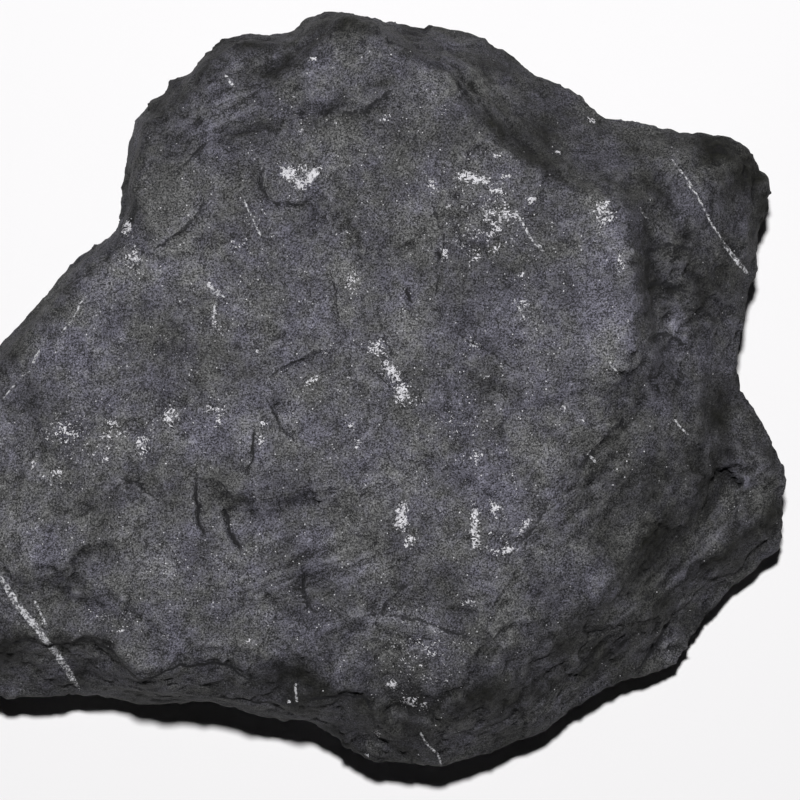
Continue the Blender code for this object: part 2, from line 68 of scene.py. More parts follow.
UPPER_LEVEL = 27.0  # usual height of the upper face, at which the veins' lines are drawn
LINE_REACH = 3.0  # distance past which a listed line no longer counts
LINE_FADE = (0.9, 1.6)  # distances over which a line's own width gives way to no line
LINE_TAPER = 7.0  # a line comes to its full width within one seventh of its length
LINE_TIP = 0.04  # share of its length by which its ends are cut blunt
NO_LINE = -0.6  # half width where no line is near, so that nothing is drawn there
FLUTE_LENGTH = 9.0  # length in millimetres over which a flute's ridge rises and falls
STREAK_LENGTH = 7.0  # how many times longer than wide the streaks of the fluted areas are
FIRST, SECOND, MIXED = 6, 7, 2  # the sockets of a Mix node that hold colours

# Upward parts of the normal at which each kind of area begins and is in full.
UPRIGHT = (0.0, 0.3)
UPPER_RELIEF = (0.0, 0.35)
UPPER_MARKS = (0.1, 0.5)
FLANK = (0.2, 0.75)
# Ground that holds dust and painted sheen:
DUSTY_AND_SHEENED = (0.72, 0.985)
EVEN = (0.9, 0.985)
SPARKLING = (0.93, 0.985)

Array = np.ndarray
Pair = tuple[float, float]
Line = tuple[Pair, ...]
Colour = tuple[float, float, float, float]
Object = bpy.types.Object
Node = bpy.types.Node
Socket = bpy.types.NodeSocket


class Mark(str, Enum):
    """Names of the surface attributes that the material reads."""

    # Dust with painted sheen: the share of the lighter colour on ground that faces up.
    DUST_AND_SHEEN = "dust"
    TONE = "tone"
    # Painted shade in hollow places and painted light on ridges.
    HOLLOW_SHADE = "hollow"
    FLAKE = "flake"
    # White grains and painted glints.
    SPECK = "speck"
    STREAK = "streak"
    STREAK_PLACE = "streak_place"
    VEIN_GAP = "vein_gap"
    VEIN_HALF = "vein_half"
    STRAND_GAP = "strand_gap"
    STRAND_HALF = "strand_half"
    CRACK_GAP = "crack_gap"
    CRACK_HALF = "crack_half"
    # Painted shadow along the foot of each ledge's scarp.
    CREASE_GAP = "crease_shadow_gap"
    CREASE_HALF = "crease_shadow_half"


@dataclass(frozen=True)
class Ledge:
    """A small scarp: its line with the low ground on the right, its drop and its reach."""

    line: Line
    drop: float
    reach: float = 2.0

    @property
    def half(self) -> float:
        """Half the width of the painted shadow under the scarp."""
        return 0.5 * self.drop


@dataclass(frozen=True)
class Crack:
    """A narrow open crack: its line, its depth and half its width."""

    line: Line
    depth: float
    half: float


@dataclass(frozen=True)
class Vein:
    """A thin sheet of white mineral: its line, half its thickness, and its shift with depth."""

    line: Line
    half: float
    lean: Pair = (0.0, 0.0)


@dataclass(frozen=True)
class Patch:
    """A soft oval area: centre, half length, half width, strength and turn in degrees."""

    x: float
    y: float
    length: float
    width: float
    strength: float = 1.0
    turn: float = 0.0


@dataclass(frozen=True)
class Flutes:
    """Ridges and grooves along an oval area, how far apart they are and how deep."""

    area: Patch
    spacing: float
    depth: float


LEDGES = (
    Ledge(
        ((-10.4, 28.2), (-11.4, 26.0), (-10.6, 23.8), (-8.6, 22.8), (-6.0, 23.2), (-3.6, 25.0)),
        0.5, 3.0,
    ),
    Ledge(((-2.6, 15.0), (-1.9, 11.4), (-1.7, 8.6)), 0.3),
    Ledge(((10.2, 13.8), (11.4, 18.8), (9.9, 22.6)), 0.35),
    Ledge(((18.6, 3.4), (16.4, 5.2), (13.8, 6.4), (11.8, 7.6)), 0.3),
    Ledge(((-10.7, 1.4), (-7.6, 3.2), (-5.0, 4.4), (-2.4, 5.8)), 0.35),
    Ledge(((-6.9, -6.2), (-8.8, -4.4), (-10.4, -0.6)), 0.4),
    Ledge(((-17.9, -18.0), (-18.8, -15.6), (-19.2, -10.6)), 0.4),
    Ledge(((-13.6, -19.6), (-14.8, -17.4), (-15.7, -14.4)), 0.4),
    Ledge(((-19.0, -10.8), (-15.8, -11.2), (-14.6, -13.6)), 0.25),
    Ledge(((-3.8, -27.4), (-5.6, -26.2), (-6.2, -21.2)), 0.4, 2.5),
    Ledge(((-23.2, -13.8), (-26.2, -11.4), (-28.8, -10.6)), 0.3),
    Ledge(((8.6, -23.6), (6.2, -23.8), (3.4, -27.2), (1.2, -27.6)), 0.4, 2.5),
    Ledge(((36.4, -34.6), (38.8, -31.2), (40.4, -27.0)), 0.5, 3.0),
    Ledge(((-24.6, 17.4), (-20.4, 19.8), (-18.0, 23.4)), 0.4, 2.5),
    Ledge(((-22.6, 26.4), (-20.2, 28.2), (-18.2, 30.6)), 0.35, 2.5),
    Ledge(((14.6, -30.4), (8.4, -28.2), (2.6, -27.2)), 0.4, 2.5),
    Ledge(((41.2, 9.8), (43.0, 10.4), (45.2, 8.6)), 0.5, 2.5),
    Ledge(((36.0, 17.0), (39.0, 18.2), (42.0, 17.4)), 0.6, 2.5),
    Ledge(((35.8, 12.6), (38.4, 13.6), (41.4, 12.2)), 0.6, 2.5),
    Ledge(((36.0, 6.4), (38.6, 7.2), (41.4, 5.6)), 0.6, 2.5),
    Ledge(((36.4, 1.6), (38.8, 2.2), (41.2, 0.4)), 0.5, 2.5),
    Ledge(((49.0, -10.4), (47.8, -13.0), (48.2, -16.4), (49.4, -18.4)), 0.4),
    Ledge(((5.2, 3.8), (4.2, 6.0), (3.4, 9.4)), 0.3),
    Ledge(((-5.2, 34.4), (1.2, 34.0), (5.4, 37.2)), 0.5, 2.5),
    Ledge(((24.0, -13.4), (22.0, -17.4), (18.6, -20.6)), 0.4, 3.0),
    Ledge(((27.6, -9.6), (30.6, -6.2), (33.8, -3.0)), 0.4, 3.0),
)

CRACKS = (
    Crack(
        ((-43.8, -31.6), (-40.3, -30.6), (-37.6, -31.6),
         (-32.6, -30.6), (-29.8, -31.7), (-28.2, -34.0)),
        0.25, 0.16,
    ),
    Crack(
        ((-28.2, -34.0), (-26.2, -35.9), (-23.8, -34.9),
         (-21.2, -33.7), (-15.4, -33.7), (-12.6, -35.8)),
        0.25, 0.16,
    ),
    Crack(((-24.2, -37.6), (-16.0, -38.0), (-9.8, -38.8), (-8.0, -40.0)), 0.3, 0.14),
    Crack(((-5.6, -38.2), (-2.0, -37.6), (1.4, -37.8), (2.6, -39.4)), 0.4, 0.18),
    Crack(((-11.9, -4.9), (-12.3, -8.6), (-13.1, -9.9)), 0.4, 0.14),
    Crack(((39.8, -29.4), (38.6, -31.2), (37.0, -33.4), (35.4, -35.4)), 0.35, 0.14),
    Crack(((6.8, 12.6), (7.2, 11.0)), 0.4, 0.2),
    Crack(((37.4, 1.3), (38.1, -0.6)), 0.5, 0.2),
    Crack(((-20.0, 28.8), (-18.1, 30.6)), 0.4, 0.16),
    Crack(((10.2, 17.4), (11.2, 16.0)), 0.4, 0.2),
    Crack(((10.6, 14.0), (10.4, 11.6)), 0.3, 0.12),
    Crack(((-15.7, -14.6), (-14.7, -17.6), (-13.8, -19.2)), 0.4, 0.16),
    Crack(((-19.2, -10.8), (-18.8, -15.6), (-18.0, -18.0)), 0.4, 0.14),
    Crack(((2.2, 3.0), (5.0, 0.2)), 0.25, 0.08),
)

FLUTES = (
    Flutes(Patch(38.7, 12, 5, 10, 1, 22), 1.5, 0.45),
    Flutes(Patch(43, -21.5, 12, 4.5, 1, 42), 1.4, 0.4),
    Flutes(Patch(33, -31.5, 8, 4.5, 1, 46), 1.5, 0.45),
    Flutes(Patch(24, -38, 7, 3.5, 1, 40), 1.6, 0.35),
    Flutes(Patch(15.5, 35.5, 8, 4, 1, -52), 1.8, 0.4),
    Flutes(Patch(-13, 36.5, 10, 4, 1, 24), 1.6, 0.15),
    Flutes(Patch(-34.5, -33.5, 5, 3, 1, 18), 0.9, 0.16),
    Flutes(Patch(-5, -22, 9, 4.5, 1, 20), 1.8, 0.2),
    Flutes(Patch(28, -12, 6, 6, 1, 40), 1.6, 0.25),
)

VEINS = (
    Vein(
        ((-43.8, -22.0), (-41.3, -26.2), (-38.8, -29.3), (-36.9, -32.4), (-34.4, -37.7)),
        0.42, (0.02, 0.0),
    ),
    Vein(
        ((39.3, 28.8), (41.4, 26.1), (43.1, 23.2), (44.1, 21.1), (45.9, 18.4)),
        0.12, (0.02, 0.01),
    ),
    Vein(((45.7, 18.6), (46.8, 17.2), (47.9, 15.8), (49.3, 14.4)), 0.26, (0.02, 0.01)),
    Vein(((19.7, 22.2), (20.6, 21.1), (21.8, 18.8), (23.7, 16.9)), 0.17),
    Vein(((-15.8, 39.2), (-14.4, 37.2)), 0.15),
    Vein(((-13.4, 23.8), (-11.8, 20.3), (-11.1, 18.8)), 0.11),
    Vein(((-18.1, 13.4), (-16.9, 12.3), (-15.4, 11.4)), 0.15),
    Vein(((-32.6, 11.7), (-33.6, 10.7), (-33.8, 9.8), (-34.7, 8.4), (-35.8, 7.2)), 0.09),
    Vein(((-38.3, 5.7), (-38.8, 4.6), (-39.4, 3.2)), 0.17),
    Vein(((35.3, 22.7), (36.4, 21.1)), 0.13),
    Vein(((31.4, 3.6), (32.7, 2.1)), 0.12),
    Vein(((28.9, -7.6), (30.2, -8.9)), 0.14),
    Vein(((39.7, -3.4), (40.7, -4.6), (41.9, -5.7)), 0.12),
    Vein(((8.4, -42.2), (8.9, -43.4), (10.7, -45.4), (11.2, -47.4)), 0.13),
    Vein(((-7.1, -35.9), (-6.8, -38.7)), 0.16),
    Vein(((19.7, 11.6), (21.2, 8.8)), 0.12),
)

STRANDS = (
    Vein(((-39.1, -25.6), (-37.6, -29.3)), 0.15, (0.02, 0.0)),
    Vein(((41.2, 25.7), (42.4, 24.4)), 0.12, (0.02, 0.01)),
    Vein(((-16.8, 11.0), (-16.9, 9.4), (-17.3, 7.8)), 0.13),
    Vein(((-39.5, 2.6), (-41.0, 1.6), (-43.2, -1.2)), 0.08),
)

FLAKES = (
    Patch(-7.6, 26.5, 2.1, 0.7, 1.9, -42), Patch(-4.9, 26.5, 1.7, 0.6, 1.9, 48),
    Patch(-6.2, 25.6, 1.1, 0.8, 2.6), Patch(-6.2, 27.2, 1.6, 0.7, 1.4),
    Patch(-17.1, 12.6, 1.3, 0.5, 1.5, -40), Patch(-16.9, 9.3, 0.45, 1.7, 1.4),
    Patch(-14.3, 17.9, 1.2, 0.8, 0.9), Patch(-1.6, 19.4, 1.8, 0.5, 0.8),
    Patch(0.2, 13.4, 1.2, 2.2, 0.9), Patch(-3.6, 4.9, 1.2, 0.35, 1.5),
    Patch(-2.4, 5.7, 0.35, 0.5, 1.4), Patch(-4.9, 1.3, 1.2, 0.5, 1.4, 25),
    Patch(3.1, 5.1, 1.3, 1.2, 1.5, -50), Patch(4.9, 2.6, 2.1, 0.9, 1.5, -60),
    Patch(6.4, -0.4, 1.6, 1.5, 1.3, -60), Patch(-11.6, 5.1, 0.4, 0.5, 1.2),
    Patch(-20.3, 21.9, 0.3, 1.2, 0.9), Patch(14.6, 26.2, 2.2, 0.7, 1.8, -10),
    Patch(17.7, 24.6, 1.4, 0.6, 1.6, -35), Patch(18.9, 26.1, 0.9, 0.3, 1.5),
    Patch(9.9, 24.8, 0.6, 1.2, 1.4), Patch(11.2, 16.9, 0.6, 1.3, 1.4),
    Patch(15.2, 16.3, 1.2, 0.5, 1.4, 20), Patch(17.4, 17.4, 1.5, 0.6, 1.1, 25),
    Patch(18.8, 21.6, 1.2, 0.8, 1.5), Patch(17.7, 19.9, 1.1, 1.6, 1.3),
    Patch(22.1, 23.4, 1.1, 0.8), Patch(20.8, 14.2, 0.5, 0.5, 1.2),
    Patch(21.2, 10.9, 0.8, 1), Patch(14.6, 5.9, 1.8, 0.8, 1.1, -40),
    Patch(16.2, 1.8, 1, 0.7, 0.9), Patch(30.9, 21.6, 1.4, 1.8, 1.4),
    Patch(30.6, 20.3, 0.6, 0.5, 1.5), Patch(32.9, 16.6, 0.9, 2.4, 0.9),
    Patch(29.9, 13.2, 0.3, 0.6, 1.2), Patch(15.1, -16.8, 0.5, 2.8, 2.1),
    Patch(17.4, -14.3, 1.4, 0.7, 1.4, -30), Patch(18.7, -19.6, 2, 0.6, 1.7, 10),
    Patch(21.2, -16.6, 1.2, 0.7, 1.4, 45), Patch(15.1, -8.2, 1.4, 0.9, 1, 45),
    Patch(28.3, -3.7, 0.4, 0.4, 1.2), Patch(26.6, -17.8, 0.4, 0.3, 1.4, 40),
    Patch(15.3, -27.7, 0.5, 0.4, 1.5), Patch(14.1, -25.9, 1.6, 0.8, 0.9),
    Patch(6.2, -15.4, 0.9, 1.6, 2), Patch(7, -18.4, 1.2, 0.8, 1.5, 30),
    Patch(-35.1, -5.2, 3, 2.4, 0.95), Patch(-29.1, -4.7, 2, 1.8),
    Patch(-25.7, -6.8, 0.9, 1.8, 1.1), Patch(-22.2, -3.3, 1.2, 1.8, 1.1),
    Patch(-17.3, -2.1, 3.4, 0.6, 0.85), Patch(-16.2, -3.8, 0.7, 1.4, 0.85),
    Patch(-36.8, -10.2, 1.9, 0.9, 1.1), Patch(-39.3, -8.9, 0.5, 1.2),
    Patch(-30.3, -8.4, 0.7, 0.7), Patch(-10.8, -3.9, 0.7, 0.6, 1.6),
    Patch(-11.1, -6.2, 0.7, 0.9, 1.4), Patch(-0.1, -4.3, 0.6, 0.8, 1.1),
    Patch(0.6, -6.4, 0.6, 0.7), Patch(4.9, -36.2, 0.8, 0.6, 1.4),
    Patch(7.4, -38.4, 2, 1, 1.2, -20), Patch(3.1, -42.6, 0.5, 0.7, 1.1),
    Patch(1.8, -45.6, 0.5, 0.3, 1.2), Patch(8.3, -45.4, 0.6, 0.3),
    Patch(-7.9, -38.4, 0.25, 0.25, 2), Patch(4.9, -31.2, 0.9, 0.6),
    Patch(9.7, -32.4, 1.1, 0.6, 1, 30), Patch(13.1, -31.2, 0.8, 0.5),
    Patch(-28.2, -29.3, 1, 0.5, 1, 30), Patch(-22.9, -30.2, 1, 0.25, 1.4, 5),
    Patch(-31.4, -23.8, 0.4, 0.7), Patch(-27.8, 20.3, 0.8, 1.2, 1.3),
    Patch(-26.9, 16.1, 1.2, 2), Patch(29.7, 33.7, 0.6, 0.7, 1.1),
    Patch(25.3, 29.4, 0.5, 0.4, 1.3), Patch(-12.6, -30.8, 0.8, 0.3, 1.3),
    Patch(-4.8, 40.9, 0.8, 0.3, 1.1), Patch(-7.3, 36.3, 0.4, 0.5, 1.2),
    Patch(-6.3, 31.9, 0.6, 0.6, 1.1), Patch(4.1, 33.4, 0.9, 0.5, 1.1),
    Patch(11.3, 34.2, 0.5, 1.1, 1.1), Patch(17.4, 29.1, 1.5, 0.4, 1.3, -20),
    Patch(14.1, 28.6, 0.5, 0.5, 1.1), Patch(33.9, 8.2, 0.5, 1, 0.9),
    Patch(26, -2.4, 1.4, 0.7, 0.8, 60),
)

SPECK_FIELDS = (
    Patch(16, 21, 6.5, 6), Patch(4, 22, 5, 4, 0.5),
    Patch(-33, -6, 8, 5, 0.8), Patch(-24, -4, 5, 4, 0.6),
    Patch(-30, -28, 8, 3, 0.6), Patch(8, -33, 7, 6, 0.8),
    Patch(6, -17, 6, 4, 0.6), Patch(17, -17, 5, 4, 0.8),
    Patch(4, 2, 5, 5, 0.6), Patch(22, 6, 8, 8, 0.4),
    Patch(-12, 20, 5, 6, 0.5), Patch(-27, 16, 3, 5, 0.7),
    Patch(-5, 32, 8, 4, 0.5, 20), Patch(36, -8, 5, 4, 0.5),
    Patch(-20, -22, 12, 6, 0.4), Patch(-19, 6, 7, 6, 0.5),
    Patch(12, -4, 8, 6, 0.6),
)

# Places turned towards the lighter colour (above 0) or the bare colour (below 0) more than slope
# explains; some are painted light or painted shade.
TONES = (
    Patch(-10, 38, 18, 7, -0.8, 15),  # darker northern shoulder
    Patch(38, 22, 12, 5, -0.4, -20),  # north-east band
    Patch(48, 27, 5, 5, -0.5),  # north-east corner
    Patch(41, 12, 6, 11, -0.1),  # gully in the east flank
    Patch(36, -9, 12, 6, -0.7, 45),  # east terrace, duller than the plateau
    Patch(33, -18.5, 12, 4, -0.8, 45),  # painted shade in the cleft under the terrace
    Patch(45.5, -18, 9, 3, -0.6, 35),  # painted shade on the shelf of the south-east face
    Patch(30, 6, 4, 10, 0.35),  # lighter eastern edge of the plateau
    Patch(18, -7, 8, 4, 0.45, 10),  # lighter swell above the terrace
    Patch(19, 7.5, 5, 3, 0.35),  # lighter swell below the crumbs
    Patch(7, 14, 3.5, 4, 0.45, -30),  # smooth swell north of the middle
    Patch(10, 1, 3.5, 5, -0.35, 20),  # dull dip east of the middle
    Patch(-16, -14, 5, 5, -0.3),  # dull hollow west of the middle
    Patch(16, 21, 7, 7, -0.65),  # duller rock among the north-east crumbs
    Patch(0, -24, 9, 4, -0.3),  # lower hollow
    Patch(6, -34, 14, 8, -0.35, 10),  # duller lower end of the plateau
    Patch(2, -43, 9, 3, -0.3),  # southern foot
    Patch(-33, -34.5, 12, 3, 0.3),  # paler wall under the western shelf
    Patch(-9, 42, 6, 2.5, 0.9, 15),  # painted light in the northern pocket, against the shade of its steep faces
    Patch(-12, 33, 5, 2, 0.5, 10),  # painted light on the step below it
)

# Facets and swells that are smoother than the rest of the rock.
CALM_FACETS = (
    Patch(28, 32, 13, 4, 1.2, -16),
    Patch(17, 42, 7, 3, 1, -20),
    Patch(44, -19, 10, 4, 0.9, 42),
    Patch(50, -3, 2.5, 5, 0.9),
    Patch(-24, 31.5, 3, 4, 0.7),
    Patch(-41, -33, 3, 3, 0.5),
    Patch(4.5, 13, 4.5, 4, 0.5),
)


def smooth_step(values: Array, low: float, high: float) -> Array:
    """Ease the values from 0 at low to 1 at high."""
    share = np.clip((values - low) / (high - low), 0.0, 1.0)
    return share * share * (3.0 - 2.0 * share)


def turned(x: Array, y: Array, degrees: float) -> tuple[Array, Array]:
    """Places measured along and across a direction."""
    turn = math.radians(degrees)
    return x * math.cos(turn) + y * math.sin(turn), y * math.cos(turn) - x * math.sin(turn)


def placed(name: str, data: bpy.types.ID) -> Object:
    """Put data into the scene as a new object.

    Args:
        name: Name of the object.
        data: What it holds.

    Returns:
        The object.
    """
    piece = bpy.data.objects.new(name, data)
    bpy.context.scene.collection.objects.link(piece)
    return piece


def read(items: bpy.types.bpy_prop_collection, name: str, width: int, kind: type = float) -> Array:
    """Read one property of many items.

    Args:
        items: Vertices, edges, faces or corners.
        name: Name of the property.
        width: How many numbers each item has.
        kind: Type of the numbers.

    Returns:
        A row for each item.
    """
    values = np.empty(len(items) * width, dtype=kind)
    items.foreach_get(name, values)
    return values.reshape(-1, width)


def along_line(places: Array, line: Line) -> tuple[Array, Array]:
    """Measure places against a line of points.

    Args:
        places: Flat places, one row each.
        line: Points of the line.

    Returns:
        The signed distance, positive to the line's right, and the share of the line passed.
    """
    gap = np.full(len(places), np.inf)
    signed = np.zeros(len(places))
    passed = np.zeros(len(places))
    for index, (start, end) in enumerate(zip(line, line[1:])):
        run = np.array(end) - np.array(start)
        away = places - np.array(start)
        share = np.clip(away @ run / (run @ run), 0.0, 1.0)
        rest = away - share[:, None] * run
        length = np.hypot(rest[:, 0], rest[:, 1])
        right = run[1] * rest[:, 0] - run[0] * rest[:, 1]
        nearer = length < gap
        gap = np.where(nearer, length, gap)
        signed = np.where(nearer, np.where(right >= 0.0, length, -length), signed)
        passed = np.where(nearer, (index + share) / (len(line) - 1), passed)
    return signed, passed


def patch_field(places: Array, patches: tuple[Patch, ...], add: bool) -> Array:
    """Measure how strong soft oval patches are.

    Args:
        places: Places on the stone.
        patches: The patches.
        add: Whether they add up; otherwise the strongest counts.

    Returns:
        The strength at each place.
    """
    total = np.zeros(len(places))
    for patch in patches:
        along, across = turned(places[:, 0] - patch.x, places[:, 1] - patch.y, patch.turn)
        oval = (along / patch.length) ** 2 + (across / patch.width) ** 2
        value = patch.strength * np.exp(-oval)
        total = total + value if add else np.maximum(total, value)
    return total


def line_fields(places: Array, lines: tuple[Vein | Crack | Ledge, ...]) -> tuple[Array, Array]:
    """Signed distance to the nearest line, and half of that line's width there.

    Args:
        places: Places on the stone, one row of x, y and z each.
        lines: Veins, cracks or ledges, whose widths taper to both ends.

    Returns:
        The signed distance and the half width, which is below 0 away from every line.
    """
    gap = np.full(len(places), LINE_REACH)
    half = np.full(len(places), NO_LINE)
    depth = UPPER_LEVEL - places[:, 2:3]
    for line in lines:
        lean = np.array(getattr(line, "lean", (0.0, 0.0)))
        signed, passed = along_line(places[:, :2] - depth * lean, line.line)
        to_end = np.minimum(passed + LINE_TIP, 1.0 + LINE_TIP - passed)
        taper = np.clip(LINE_TAPER * to_end, 0.0, 1.0)
        nearer = (np.abs(signed) < np.abs(gap)) & (passed > 0.0) & (passed < 1.0)
        gap = np.where(nearer, signed, gap)
        own = line.half * taper + NO_LINE * smooth_step(np.abs(signed), *LINE_FADE)
        half = np.where(nearer, own, half)
    return gap, half


@dataclass
class Relief:
    """Fine broken relief of the rock, as an offset along the surface's normals."""

    warp: float = 0.35  # how far the listed lines are roughened sideways
    warp_pitch: float = 0.55  # waves of that roughening per millimetre
    finer_warp: Pair = (3.1, 0.4)  # how many times finer its second waves are, and their strength
    facet_sizes: tuple[float, ...] = (6.5, 2.8, 1.3)  # widths of the hackly facets, coarse to fine
    facet_slopes: tuple[float, ...] = (0.09, 0.13, 0.15)  # steepness of each size of facet
    facet_steps: tuple[float, ...] = (0.07, 0.06, 0.04)  # height of the steps between them
    facet_bends: Pair = (0.25, 1.7)  # strength and pitch of the bends in their edges
    ridges: tuple[float, ...] = (0.5, 1.6, 0.6, 2.3)  # middle, coarse cut, fine cut and its pitch
    grain: float = 0.12  # height of the finest unevenness
    grain_pitch: float = 0.9  # waves of the finest unevenness per millimetre
    octaves: tuple[float, float, int] = (0.8, 2.0, 3)  # its octaves: fall, fineness and number
    calming: float = 0.5  # share of the unevenness that calm places lose

    def warped(self, places: Array) -> Array:
        """Shift places sideways by noise, so that lines drawn on them run ragged.

        Args:
            places: Places on the stone.

        Returns:
            The shifted flat places.
        """
        finer, share = self.finer_warp
        shifts = []
        for place in places:
            spot = Vector(place) * self.warp_pitch
            wide = noise.noise_vector(spot)
            fine = noise.noise_vector(spot * finer)
            shifts.append((wide.x + share * fine.x, wide.y + share * fine.y))
        return places[:, :2] + self.warp * np.array(shifts)

    def facets(self, places: Array, level: int) -> Array:
        """Carve one size of tilted facets with steps between them.

        Args:
            places: Places on the stone.
            level: Which size.

        Returns:
            The heights.
        """
        size = self.facet_sizes[level]
        bend, pitch = self.facet_bends
        salt = Vector((11.3, 4.7, 2.9)) * (level + 1)  # keeps the sizes from lining up
        tilt_salt, step_salt = 37.0, 91.0  # so that a facet's tilt and step are drawn apart
        heights = []
        for place in places:
            spot = Vector(place) / size + salt
            spot += bend * noise.noise_vector(spot * pitch)
            seed = noise.voronoi(spot)[1][0]
            tilt = noise.cell_vector(seed * tilt_salt) * 2.0 - Vector((1.0, 1.0, 1.0))
            step = noise.cell(seed * step_salt) - 0.5
            slope = self.facet_slopes[level] * size * (spot - seed).dot(tilt)
            heights.append(slope + self.facet_steps[level] * step * 2.0)
        return np.array(heights)

    def unevenness(self, places: Array) -> Array:
        """Fine soft noise of the bare rock."""
        spots = (Vector(place) * self.grain_pitch for place in places)
        return self.grain * np.array([noise.fractal(spot, *self.octaves) for spot in spots])

    def scarps(self, flat: Array) -> Array:
        """Carve the listed ledges and cracks.

        Args:
            flat: Flat places.

        Returns:
            The heights.
        """
        lip = (-0.1, 0.35)  # distances from the line between which a scarp drops
        rise = 6.0  # how fast a scarp gains height from the ends of its line
        past_end = 0.4  # share of a crack's depth that is left round its ends
        total = np.zeros(len(flat))
        for ledge in LEDGES:
            signed, passed = along_line(flat, ledge.line)
            strength = np.clip(rise * passed * (1.0 - passed), 0.0, 1.0)
            low = smooth_step(signed, *lip) * np.exp(-np.abs(signed) / ledge.reach)
            total -= ledge.drop * strength * low
        for crack in CRACKS:
            signed, passed = along_line(flat, crack.line)
            inside = np.where((passed > 0.0) & (passed < 1.0), 1.0, past_end)
            total -= crack.depth * inside * np.exp(-((signed / (crack.half * 2.0)) ** 2))
        return total

    def flutes(self, places: Array) -> Array:
        """Carve the ridges and grooves of the fluted areas.

        Args:
            places: Places on the stone.

        Returns:
            The heights.
        """
        faintest = 0.04  # weight under which an area no longer counts
        apart = 7.0  # shift of the noise from one area to the next
        level = 6.0  # millimetres of height over which the flutes change
        middle, coarse, fine, finer = self.ridges
        total = np.zeros(len(places))
        for index, flutes in enumerate(FLUTES):
            weight = patch_field(places, (flutes.area,), add=False)
            along, across = turned(places[:, 0], places[:, 1], flutes.area.turn)
            along, across = along / FLUTE_LENGTH, across / flutes.spacing
            for place in np.flatnonzero(weight > faintest):
                height = apart * index + places[place, 2] / level
                spot = Vector((along[place], across[place], height))
                ridge = middle - coarse * abs(noise.noise(spot))
                ridge -= fine * abs(noise.noise(spot * finer))
                total[place] += flutes.depth * weight[place] * ridge
        return total

    @staticmethod
    def streaks(places: Array) -> tuple[Array, Array]:
        """Find the fluted areas and the way that their flutes run.

        Args:
            places: Places on the stone.

        Returns:
            How fluted each place is, and the place along and across the flutes.
        """
        strength = np.zeros(len(places))
        spots = np.zeros((len(places), 3))
        for flutes in FLUTES:
            own = patch_field(places, (flutes.area,), add=False)
            along, across = turned(places[:, 0], places[:, 1], flutes.area.turn)
            nearer = own > strength
            spot = np.column_stack((along / STREAK_LENGTH, across, places[:, 2]))
            spots[nearer] = spot[nearer]
            strength = np.maximum(strength, own)
        return strength, spots

    def offsets(self, places: Array, upper: Array, calm: Array) -> Array:
        """Offset of each place along its normal.

        Args:
            places: Places on the smooth stone.
            upper: Share by which a place belongs to the upper side.
            calm: Share by which a place is smooth, as on the even facets.

        Returns:
            The offsets in millimetres.
        """
        rough = 1.0 - self.calming * calm
        total = (self.scarps(self.warped(places)) + self.flutes(places)) * upper
        for level in range(len(self.facet_sizes)):
            total += self.facets(places, level) * rough
        return total + self.unevenness(places) * rough


